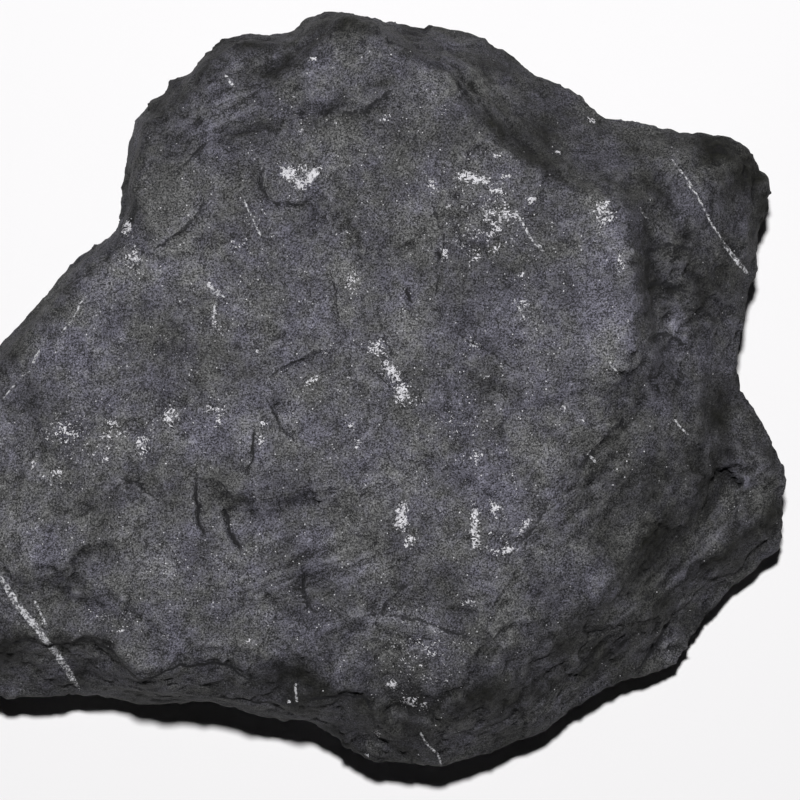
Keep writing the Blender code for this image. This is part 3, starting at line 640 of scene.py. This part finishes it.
@dataclass
class Stone:
    """The slab: a fine carved copy of the frame's solid, with marks and its own map."""

    node: str = NODE  # name of the solid that the slab replaces
    voxel: float = 0.54  # width of the remesh's cells in millimetres
    rounding: int = 5  # passes of smoothing that take the coarse facets off
    regrowth: float = 1.3  # share of the smoothing's shrinkage that is given back
    broad_passes: int = 14  # passes that average the normals into the slope of the ground around
    dust_and_sheen_passes: int = 24  # further passes for dust and painted sheen, which lie over wider ground
    hollow_shade_passes: int = 8  # passes over which a hollow is told from the ground around it, for its painted shade
    rim_relief: float = 0.6  # share of the ledges and flutes that the rim loses
    rim_calm: float = 0.8  # how calm the rim is
    relief: Relief = field(default_factory=Relief)  # the fine relief that is carved into it

    def build(self, finish: ShungiteFinish) -> Object:
        """Make, mark, map and dress the slab.

        Args:
            finish: Finish of the stone.

        Returns:
            The finished object, riding on the frame.
        """
        piece = self.fine_copy()
        places = self.places(piece)
        normals = read(piece.data.vertices, "normal", 3)
        broad = self.averaged(piece, normals, self.broad_passes)
        facing = (broad / np.linalg.norm(broad, axis=1)[:, None])[:, 2]
        carved, offsets = self.carved(places, normals, facing)
        self.move(piece, carved)
        self.mark(piece, carved, facing, offsets)
        self.unfold(piece, carved)
        piece.data.shade_smooth()
        piece.data.materials.clear()
        piece.data.materials.append(finish.material())
        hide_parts(self.node)
        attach(piece, "root")
        LOG.info("%s: %d faces", piece.name, len(piece.data.polygons))
        return piece

    def fine_copy(self) -> Object:
        """Copy the solid, sew its loose triangles and remesh it evenly and finely.

        Returns:
            The smooth stone.
        """
        mesh = bpy.data.meshes.new(PIECE)
        work = bmesh.new()
        work.from_mesh(bpy.data.objects[self.node].data)
        bmesh.ops.remove_doubles(work, verts=work.verts, dist=1e-6)
        work.to_mesh(mesh)
        work.free()
        piece = placed(PIECE, mesh)
        remesh = piece.modifiers.new("even", "REMESH")
        remesh.mode = "VOXEL"
        remesh.voxel_size = self.voxel * MM
        bpy.context.view_layer.objects.active = piece
        piece.select_set(True)
        bpy.ops.object.modifier_apply(modifier="even")
        softened = self.averaged(piece, self.places(piece), self.rounding)
        shrunk = self.averaged(piece, softened, self.rounding)
        self.move(piece, softened + self.regrowth * (softened - shrunk))
        return piece

    @staticmethod
    def places(piece: Object) -> Array:
        """Places of the piece's vertices in millimetres."""
        return read(piece.data.vertices, "co", 3) / MM

    @staticmethod
    def averaged(piece: Object, values: Array, passes: int) -> Array:
        """Average the vertices' values with their neighbours'.

        Args:
            piece: The stone.
            values: A number or a row for each vertex.
            passes: How often they are averaged.

        Returns:
            The averaged values.
        """
        own, shared = 0.4, 0.6  # weights of a vertex and of its neighbours in each pass
        first, second = read(piece.data.edges, "vertices", 2, np.int64).T
        total = len(piece.data.vertices)
        count = np.bincount(first, minlength=total) + np.bincount(second, minlength=total)
        flat = values if values.ndim == 2 else values[:, None]
        for _ in range(passes):
            summed = np.empty_like(flat)
            for column in range(flat.shape[1]):
                here = flat[:, column]
                summed[:, column] = np.bincount(first, here[second], total)
                summed[:, column] += np.bincount(second, here[first], total)
            flat = own * flat + shared * summed / count[:, None]
        return flat if values.ndim == 2 else flat[:, 0]

    def carved(self, places: Array, normals: Array, facing: Array) -> tuple[Array, Array]:
        """Carve the fine relief, and stay within the solid's own box.

        Args:
            places: Places on the smooth stone.
            normals: Normals there.
            facing: Upward part of the averaged normals.

        Returns:
            The carved places, and how far each was moved along its normal.
        """
        upper = smooth_step(facing, *UPPER_RELIEF)
        even = smooth_step(facing, *EVEN)
        smooth = patch_field(places, CALM_FACETS, add=False) * upper
        calm = np.clip(np.maximum(smooth, even), 0.0, 1.0)
        rim = 1.0 - smooth_step(np.abs(facing), *FLANK)
        offsets = self.relief.offsets(
            places, upper * (1.0 - self.rim_relief * rim), np.maximum(calm, self.rim_calm * rim)
        )
        low, high = (np.array(corner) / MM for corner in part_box(self.node))
        return np.clip(places + normals * offsets[:, None], low, high), offsets

    @staticmethod
    def move(piece: Object, places: Array) -> None:
        """Put the piece's vertices at new places."""
        piece.data.vertices.foreach_set("co", (places * MM).ravel())
        piece.data.update()

    def mark(self, piece: Object, places: Array, facing: Array, offsets: Array) -> None:
        """Store what the rock carries at each vertex, with its painted sheen, glints and shade, for
        the material to read.

        Args:
            piece: The stone.
            places: Places of its vertices.
            facing: Upward part of the averaged normals.
            offsets: How far each vertex was moved along its normal.
        """
        flank_dust_and_sheen_loss = 0.3  # how much less dust and painted sheen the upright flanks get, which leaves them darker
        crumb_share = 0.72  # crust in a speck field, against that of a flake
        field_specks, level_glints, least_specks = 0.35, 0.2, 0.03
        upper = smooth_step(facing, *UPPER_MARKS)
        upright = 1.0 - smooth_step(np.abs(facing), *UPRIGHT)
        speckled = patch_field(places, SPECK_FIELDS, add=False)
        crusted = np.maximum(patch_field(places, FLAKES, add=False), crumb_share * speckled)
        marks = {
            # Dust and painted sheen: ground that faces up is made lighter, upright flanks darker.
            Mark.DUST_AND_SHEEN: smooth_step(self.averaged(piece, facing, self.dust_and_sheen_passes), *DUSTY_AND_SHEENED),
            Mark.TONE: patch_field(places, TONES, add=True) * upper - flank_dust_and_sheen_loss * upright,
            # Painted shade below the ground around, painted light above it.
            Mark.HOLLOW_SHADE: self.averaged(piece, offsets, self.hollow_shade_passes) - offsets,
            Mark.FLAKE: crusted * upper,
            # Specks are white grains and painted glints; the glints grow on level ground.
            Mark.SPECK: field_specks * speckled * upper
            + (least_specks + level_glints * smooth_step(facing, *SPARKLING)),
        }
        ragged = np.column_stack((self.relief.warped(places), np.full(len(places), UPPER_LEVEL)))
        above = upper > 0.5
        for name, spots, lines, shown in (
            ("VEIN", places, VEINS, True),
            ("STRAND", places, STRANDS, True),
            # Lines of painted shade in the cracks.
            ("CRACK", ragged, CRACKS, above),
            # Painted shadow under the ledges.
            ("CREASE", ragged, LEDGES, above),
        ):
            gap, half = line_fields(spots, lines)
            marks[Mark[f"{name}_GAP"]] = gap
            marks[Mark[f"{name}_HALF"]] = np.where(shown, half, NO_LINE)
        streak, streak_place = self.relief.streaks(places)
        marks[Mark.STREAK] = streak * upper
        for mark, values in marks.items():
            layer = piece.data.attributes.new(mark.value, "FLOAT", "POINT")
            layer.data.foreach_set("value", np.asarray(values, dtype=np.float32))
        layer = piece.data.attributes.new(Mark.STREAK_PLACE.value, "FLOAT_VECTOR", "POINT")
        layer.data.foreach_set("vector", streak_place.astype(np.float32).ravel())

    @staticmethod
    def unfold(piece: Object, places: Array) -> None:
        """Give the stone a map: the upper side and the underside, each spread outwards.

        Args:
            piece: The stone.
            places: Places of its vertices.
        """
        thickness = 30.0
        split = 8.5  # height of a face's middle above which it belongs to the upper side
        spread = 0.6  # how far outwards each millimetre of depth moves a place
        upper_scale, lower_scale = 0.0052, 0.0034  # map units per millimetre
        middle, upper_middle, lower_middle = 0.5, 0.335, 0.82  # of the map and of its two islands
        mesh = piece.data
        corner = places[read(mesh.loops, "vertex_index", 1, np.int64)[:, 0]]
        sizes = read(mesh.polygons, "loop_total", 1, np.int64)[:, 0]
        faces = np.repeat(np.arange(len(sizes)), sizes)
        top = (np.bincount(faces, corner[:, 2]) / sizes)[faces] > split
        radius = np.hypot(corner[:, 0], corner[:, 1])
        depth = np.where(top, thickness - corner[:, 2], corner[:, 2])
        factor = (radius + spread * depth) / np.maximum(radius, 1e-6)
        scale = np.where(top, upper_scale, lower_scale)
        uv = corner[:, :2] * factor[:, None] * scale[:, None]
        uv[:, 0] = np.where(top, middle + uv[:, 0], middle - uv[:, 0])
        uv[:, 1] += np.where(top, upper_middle, lower_middle)
        layer = mesh.uv_layers.new(name="OFBake")
        layer.uv.foreach_set("vector", uv.astype(np.float32).ravel())


def linear(colour: str) -> Colour:
    """Turn an sRGB hex value to linear.

    Args:
        colour: The hex value.

    Returns:
        The linear colour, fully opaque.
    """
    values = []
    for start in (1, 3, 5):
        share = int(colour[start : start + 2], 16) / 255.0
        low = share <= 0.04045
        values.append(share / 12.92 if low else ((share + 0.055) / 1.055) ** 2.4)
    return (values[0], values[1], values[2], 1.0)


@dataclass(frozen=True)
class Pattern:
    """Noise of a real width, which may be eased between two levels."""

    width: float  # width of its blotches in millimetres
    span: Pair = (0.0, 1.0)  # values of the noise at which it is at its first and its second level
    levels: Pair = (0.0, 1.0)  # its first and second level
    detail: float = 2.0  # number of finer noises added to it
    roughness: float = 0.7  # strength of each finer noise against the one before
    clamp: bool = True  # whether it stops at the two levels
    cut: float | None = None  # where it is cut from its solid noise, to differ from others
    curl: float = 0.0  # how far its blotches are bent

    def at(self, place: Node | Socket) -> dict[str | int, object]:
        """What its noise is fed at a place."""
        sizes = {"Scale": 1.0 / self.width, "Detail": self.detail, "Roughness": self.roughness}
        return {"Vector": place, "Distortion": self.curl} | sizes


@dataclass(frozen=True)
class ShungiteFinish:
    """Raw shungite, a carbon-rich rock: broken, never polished, so its own dust keeps it matt."""

    fresh: str = "#3b3b3e"  # bare broken rock of the flanks
    dusty_and_sheened: str = "#535358"  # upper face greyed by its own dust and lightened by painted sheen
    crevice_shade: str = "#17171a"  # painted shade of deep cracks and sharp hollow places, also laid along the hairlines and the ledges
    flake: str = "#e2e1e6"  # pale flaky crust, white grains, and painted glints of crystal faces
    vein: str = "#cfcfd3"  # white vein mineral, such as quartz
    violet_cast: Colour = (0.98, 0.96, 1.06, 1.0)  # factors that tint some areas slightly violet
    olive_cast: Colour = (1.04, 1.04, 0.93, 1.0)  # factors that tint others slightly olive
    roughness: float = 0.78  # roughness of the bare rock, which leaves no highlight
    ior: float = 1.5  # refractive index of rock
    specular: float = 0.35  # faint share of mirror light, as the dust scatters the rest
    drift: Pattern = Pattern(9.0, (0.32, 0.68), (-0.85, 0.75), 4.0, 0.55)  # broad tone of the dust and painted sheen
    stain: Pattern = Pattern(6.0, (0.4, 0.6), detail=4.0, cut=3.0)  # where violet turns to olive
    mottle: Pattern = Pattern(4.0, (0.4, 0.6), (0.84, 1.16), 4.0, 1.0, clamp=False)  # blotches
    # Real grain is too fine to see, so it is drawn 0.2 mm wide to show.
    grit: Pattern = Pattern(0.22, (0.3, 0.7), (-0.2, 2.2), 1.0, 1.0, clamp=False)
    streaks: Pattern = Pattern(1.1, (0.35, 0.65), (-0.9, 1.0), 4.0)  # streaks along the flutes
    hollow_shade: Pair = (-2.1, -2.4)  # painted shade: brightness lost per millimetre below the ground around, and gained above it, on bare and on dust-covered rock
    darkest: float = 0.15  # least share of its colour that the rock keeps
    bends: Pattern = Pattern(1.8, detail=4.0)  # bends of the fracture's hairlines
    splinters: Pattern = Pattern(2.5, (0.42, 0.58), (0.0, 0.7), 3.0, 0.65)  # where they show
    sparkle: Pattern = Pattern(1.6, (0.46, 0.7), (0.03, 0.4))  # where crystal faces gather
    clusters: Pattern = Pattern(1.7, (0.42, 0.6), (0.65, 1.25), 2.0, 0.6)  # where the crust gathers
    curls: Pattern = Pattern(0.8, detail=3.0, roughness=0.65, curl=1.2)  # curled chains of crumbs
    crumbs: Pattern = Pattern(0.32, detail=1.0, roughness=0.6)  # the crumbs themselves
    crust_tone: Pattern = Pattern(0.7, (0.38, 0.62), (0.7, 1.0), 2.0, 0.5, cut=5.0)  # its paleness
    vein_gaps: Pattern = Pattern(0.4, (0.46, 0.58), (0.05, 1.0))  # breaks in the veins
    crease_shadow_gaps: Pattern = Pattern(0.9, (0.35, 0.5), (0.0, 0.85), 3.0)  # breaks in the painted shadow under the ledges
    grain: Pattern = Pattern(0.5, detail=4.0)  # grain of the broken surface, finer than the mesh

    def material(self) -> bpy.types.Material:
        """Build the stone's material.

        Returns:
            The material.
        """
        material = bpy.data.materials.new("shungite_raw_broken")
        material.use_nodes = True
        material.node_tree.nodes.clear()
        RockNodes(self, material.node_tree).build()
        return material


@dataclass
class RockNodes:
    """Nodes of the stone's material, which lay one look after another over the bare rock."""

    finish: ShungiteFinish
    tree: bpy.types.NodeTree
    place: Node = field(init=False)  # place on the object in millimetres
    colour: Node | Socket = field(init=False)  # colour so far
    crust: Node = field(init=False)  # share of the colour that is crust

    def build(self) -> None:
        """Add all nodes; the scale of each noise is one over a real size in millimetres."""
        metres = self.add("TexCoord").outputs["Object"]
        self.place = self.add("VectorMath", {0: metres, "Scale": 1.0 / MM}, operation="SCALE")
        self.lay_rock()
        self.lay_fractures()
        self.lay_specks()
        self.lay_crust()
        self.lay_veins()
        self.lay_cracks()
        feeds = {
            "Base Color": self.colour,
            "Normal": self.bumps(),
            "Roughness": self.finish.roughness,
            "IOR": self.finish.ior,
            "Specular IOR Level": self.finish.specular,
        }
        self.add("OutputMaterial", {"Surface": self.add("BsdfPrincipled", feeds)})

    def add(
        self, kind: str, feeds: dict[str | int, object] | None = None, **settings: object
    ) -> Node:
        """Add one node with its settings and links.

        Args:
            kind: Type of the node, without the word that all shader nodes start with.
            feeds: For each input a value, a mark of the surface, an output, or a node, whose
                first output is taken.
            **settings: The node's own properties.

        Returns:
            The new node.
        """
        node = self.tree.nodes.new(f"ShaderNode{kind}")
        for name, value in settings.items():
            setattr(node, name, value)
        for socket, feed in (feeds or {}).items():
            if isinstance(feed, Mark):
                feed = self.add("Attribute", attribute_name=feed.value).outputs["Fac"]
            source = feed.outputs[0] if isinstance(feed, Node) else feed
            if isinstance(source, Socket):
                self.tree.links.new(source, node.inputs[socket])
            else:
                node.inputs[socket].default_value = source
        return node

    def eased(self, pattern: Pattern, place: Socket | None = None) -> Node:
        """Add a pattern, eased between its two levels.

        Args:
            pattern: The pattern.
            place: Where it is read, if not at the place on the object.

        Returns:
            The last of its nodes.
        """
        feeds = pattern.at(self.place if place is None else place)
        if pattern.cut is None:
            blotches = self.add("TexNoise", feeds)
        else:
            blotches = self.add("TexNoise", feeds | {"W": pattern.cut}, noise_dimensions="4D")
        limits = ("From Min", "From Max", "To Min", "To Max")
        ends = dict(zip(limits, pattern.span + pattern.levels))
        return self.add("MapRange", {"Value": blotches} | ends, clamp=pattern.clamp)

    def lay(self, colour: str, share: Node) -> None:
        """Lay a colour, given as sRGB hex, over the colour so far."""
        feeds = {0: share, FIRST: self.colour, SECOND: linear(colour)}
        self.colour = self.add("Mix", feeds, data_type="RGBA").outputs[MIXED]

    def lay_rock(self) -> None:
        """Bare rock, and rock lightened by dust and painted sheen, tinted and shaded."""
        finish = self.finish
        # Dust and painted sheen together set how far the rock turns to the lighter colour.
        settled = self.add("Math", {0: Mark.DUST_AND_SHEEN, 1: Mark.TONE}, operation="ADD")
        dust = self.add("Math", {0: settled, 1: self.eased(finish.drift)}, operation="ADD")
        bases = {0: dust, FIRST: linear(finish.fresh), SECOND: linear(finish.dusty_and_sheened)}
        base = self.add("Mix", bases, data_type="RGBA", clamp_factor=False)
        casts = {0: self.eased(finish.stain), FIRST: finish.violet_cast, SECOND: finish.olive_cast}
        cast = self.add("Mix", casts, data_type="RGBA")
        both = {0: 1.0, FIRST: base.outputs[MIXED], SECOND: cast.outputs[MIXED]}
        tinted = self.add("Mix", both, data_type="RGBA", blend_type="MULTIPLY")
        shaded = {0: tinted.outputs[MIXED], "Scale": self.shade()}
        self.colour = self.add("VectorMath", shaded, operation="SCALE")

    def shade(self) -> Node:
        """Shade the rock by its grain, by streaks along flutes, and with painted shade in its
        hollow places and painted light on its ridges.

        Returns:
            The factor on the rock's colour.
        """
        blotches = {0: self.eased(self.finish.mottle), 1: self.eased(self.finish.grit)}
        grain = self.add("Math", blotches, operation="MULTIPLY")
        along = self.add("Attribute", attribute_name=Mark.STREAK_PLACE.value).outputs["Vector"]
        streaks = {0: self.eased(self.finish.streaks, along), 1: Mark.STREAK, 2: grain}
        streaked = self.add("Math", streaks, operation="MULTIPLY_ADD")
        # Painted shade in hollow places and painted light on ridges.
        bare, dusty_and_sheened = self.finish.hollow_shade
        depth = self.add("MapRange", {"Value": Mark.DUST_AND_SHEEN, "To Min": bare, "To Max": dusty_and_sheened})
        hollow_shade = {0: Mark.HOLLOW_SHADE, 1: depth, 2: streaked}
        hollow_shaded = self.add("Math", hollow_shade, operation="MULTIPLY_ADD")
        return self.add("Math", {0: hollow_shaded, 1: self.finish.darkest}, operation="MAXIMUM")

    def lay_fractures(self) -> None:
        """Short dark hairlines of the splintery fracture, in the cracks' painted shade, which come
        and go over the rock.
        """
        bend, length, hairline = 4.0, 2.4, 0.06
        aside = self.add("TexNoise", self.finish.bends.at(self.place)).outputs["Color"]
        bends = {0: aside, 1: (bend, bend, bend), 2: self.place}
        bent = self.add("VectorMath", bends, operation="MULTIPLY_ADD")
        cells = {"Vector": bent, "Scale": 1.0 / length}
        edge = self.add("TexVoronoi", cells, feature="DISTANCE_TO_EDGE")
        lines = {"Value": edge, "From Max": hairline, "To Min": 1.0, "To Max": 0.0}
        line = self.add("MapRange", lines)
        shares = {0: line, 1: self.eased(self.finish.splinters)}
        # Painted shade along the hairlines.
        self.lay(self.finish.crevice_shade, self.add("Math", shares, operation="MULTIPLY"))

    def lay_specks(self) -> None:
        """Tiny white grains and painted glints of crystal faces, drawn about 0.15 mm wide so that
        they show.
        """
        pitch, edge, core, dimming = 0.24, 0.44, 0.26, 1.2
        cells = self.add("TexVoronoi", {"Vector": self.place, "Scale": 1.0 / pitch})
        draws = self.add("SeparateColor", {0: cells.outputs["Color"]})
        rates = {0: self.eased(self.finish.sparkle), 1: Mark.SPECK}
        often = self.add("Math", rates, operation="MULTIPLY")
        chosen = self.add("Math", {0: draws, 1: often}, operation="LESS_THAN")
        near = self.add("MapRange", {"Value": cells, "From Min": edge, "From Max": core})
        bright = self.add("Math", {0: draws.outputs[1], 1: dimming}, operation="POWER")
        glow = self.add("Math", {0: bright, 1: near}, operation="MULTIPLY")
        self.lay(self.finish.flake, self.add("Math", {0: chosen, 1: glow}, operation="MULTIPLY"))

    def lay_crust(self) -> None:
        """Pale flaky crust, broken into crumbs that hang together in curled chains."""
        middle, chain_width, in_chain, off_chain = 0.5, 0.09, 0.56, 0.19
        bare, covered = 0.87, 0.91
        curls = self.add("TexNoise", self.finish.curls.at(self.place))
        crumbs = self.add("TexNoise", self.finish.crumbs.at(self.place))
        aside = self.add("Math", {0: curls, 1: middle}, operation="SUBTRACT")
        away = self.add("Math", {0: aside}, operation="ABSOLUTE")
        chains = {"Value": away, "From Max": chain_width, "To Min": in_chain, "To Max": off_chain}
        chain = self.add("MapRange", chains)
        flakes = {0: Mark.FLAKE, 1: self.eased(self.finish.clusters)}
        flake = self.add("Math", flakes, operation="MULTIPLY")
        lifted = self.add("Math", {0: flake, 1: chain, 2: crumbs}, operation="MULTIPLY_ADD")
        cover = self.add("MapRange", {"Value": lifted, "From Min": bare, "From Max": covered})
        shares = {0: cover, 1: self.eased(self.finish.crust_tone)}
        self.crust = self.add("Math", shares, operation="MULTIPLY")
        self.lay(self.finish.flake, self.crust)

    def lay_veins(self) -> None:
        """Thin white veins with ragged edges and gaps."""
        lines = {0: self.line("VEIN", raggedness=0.22), 1: self.line("STRAND", raggedness=0.2)}
        white = self.add("Math", lines, operation="MAXIMUM")
        shares = {0: white, 1: self.eased(self.finish.vein_gaps)}
        self.lay(self.finish.vein, self.add("Math", shares, operation="MULTIPLY"))

    def lay_cracks(self) -> None:
        """Painted shade: black lines in the cracks, and fainter broken lines of painted shadow
        under the ledges.
        """
        crease_shadows = {0: self.line("CREASE", raggedness=0.5), 1: self.eased(self.finish.crease_shadow_gaps)}
        faint = self.add("Math", crease_shadows, operation="MULTIPLY")
        lines = {0: self.line("CRACK", raggedness=0.15), 1: faint}
        self.lay(self.finish.crevice_shade, self.add("Math", lines, operation="MAXIMUM"))

    def line(self, kind: str, raggedness: float) -> Node:
        """Draw a kind of line, from the distance to it and its half width.

        Args:
            kind: First word of the two marks that hold the distance and the half width.
            raggedness: How far noise moves the line's edges, in millimetres.

        Returns:
            1 on the line and 0 off it.
        """
        outer, inner = -0.04, 0.06  # distances inside the line's edge between which it fades in
        jitter = Pattern(0.45, levels=(-raggedness, raggedness), detail=3.0, roughness=0.5)
        signed = {0: Mark[f"{kind}_GAP"], 1: self.eased(jitter)}
        moved = self.add("Math", signed, operation="ADD")
        away = self.add("Math", {0: moved}, operation="ABSOLUTE")
        depth = self.add("Math", {0: Mark[f"{kind}_HALF"], 1: away}, operation="SUBTRACT")
        return self.add("MapRange", {"Value": depth, "From Min": outer, "From Max": inner})

    def bumps(self) -> Node:
        """Raise the grain of the broken rock, and the crust by its thickness.

        Returns:
            The bumped normal.
        """
        height, crust_rise, strength = 0.25, 0.15, 0.8
        grain = self.add("TexNoise", self.finish.grain.at(self.place))
        heights = {0: self.crust, 1: crust_rise, 2: grain}
        raised = self.add("Math", heights, operation="MULTIPLY_ADD")
        feeds = {"Strength": strength, "Distance": height * MM, "Height": raised}
        return self.add("Bump", feeds)


@dataclass
class Studio:
    """Pale floor, a small frontal key light, faint fill and the camera straight above."""

    lens: float = 250.0  # focal length in millimetres; long, so that heights hardly shift
    view_width: float = 100.0  # width that the picture spans at the aim's height, in millimetres
    aim: tuple[float, float, float] = (5.9, -1.1, 14.0)  # middle of the picture, in millimetres
    far_clip: float = 20.0  # distance in metres at which the camera stops seeing
    floor_colour: str = "#f4f3f4"  # matt white of the floor
    floor_roughness: float = 0.9  # roughness of the floor
    floor_half: float = 1.5  # half the width of the floor in metres
    key_direction: tuple[float, float, float] = (0.0, 0.22, 0.97)  # from the stone to the key light
    key_distance: float = 0.8  # distance of the key light in metres
    key_size: float = 0.05  # width of the key light in metres
    key_power: float = 7.0  # power of the key light in watts
    fill_strength: float = 0.001  # strength of the even light from all round

    def build(self) -> None:
        """Make the floor, the lights and the camera."""
        self.floor()
        self.lights()
        self.camera()
        LOG.info("studio ready")

    def floor(self) -> None:
        """A wide matt floor that the stone rests on."""
        mesh = bpy.data.meshes.new("floor")
        work = bmesh.new()
        bmesh.ops.create_grid(work, x_segments=1, y_segments=1, size=self.floor_half)
        work.to_mesh(mesh)
        work.free()
        plane = placed("floor", mesh)
        material = bpy.data.materials.new("paper_white_matt")
        material.use_nodes = True
        shader = material.node_tree.nodes["Principled BSDF"]
        shader.inputs["Base Color"].default_value = linear(self.floor_colour)
        shader.inputs["Roughness"].default_value = self.floor_roughness
        mesh.materials.append(material)

    def lights(self) -> None:
        """A compact softbox close to the camera's axis, and faint light from all round."""
        light = bpy.data.lights.new("key", "AREA")
        light.shape = "DISK"
        light.size = self.key_size
        light.energy = self.key_power
        key = placed("key", light)
        direction = Vector(self.key_direction).normalized()
        key.location = Vector(self.aim) * MM + direction * self.key_distance
        key.rotation_euler = (-direction).to_track_quat("-Z", "Y").to_euler()
        world = bpy.data.worlds.new("soft_fill")
        world.use_nodes = True
        background = world.node_tree.nodes["Background"]
        background.inputs["Color"].default_value = (1.0, 1.0, 1.0, 1.0)
        background.inputs["Strength"].default_value = self.fill_strength
        bpy.context.scene.world = world

    def camera(self) -> None:
        """A camera that looks straight down, with +Y up in the picture."""
        data = bpy.data.cameras.new("camera")
        data.lens = self.lens
        data.clip_end = self.far_clip
        camera = placed("camera", data)
        distance = self.view_width * self.lens / data.sensor_width
        camera.location = Vector((self.aim[0], self.aim[1], self.aim[2] + distance)) * MM
        bpy.context.scene.camera = camera


def main() -> None:
    """Build the studio and the stone."""
    logging.basicConfig(level=logging.INFO, format="%(name)s: %(message)s")
    bpy.context.scene.view_settings.view_transform = "Standard"
    noise.seed_set(NOISE_SEED)
    Studio().build()
    Stone().build(ShungiteFinish())


if __name__ == "__main__":
    main()
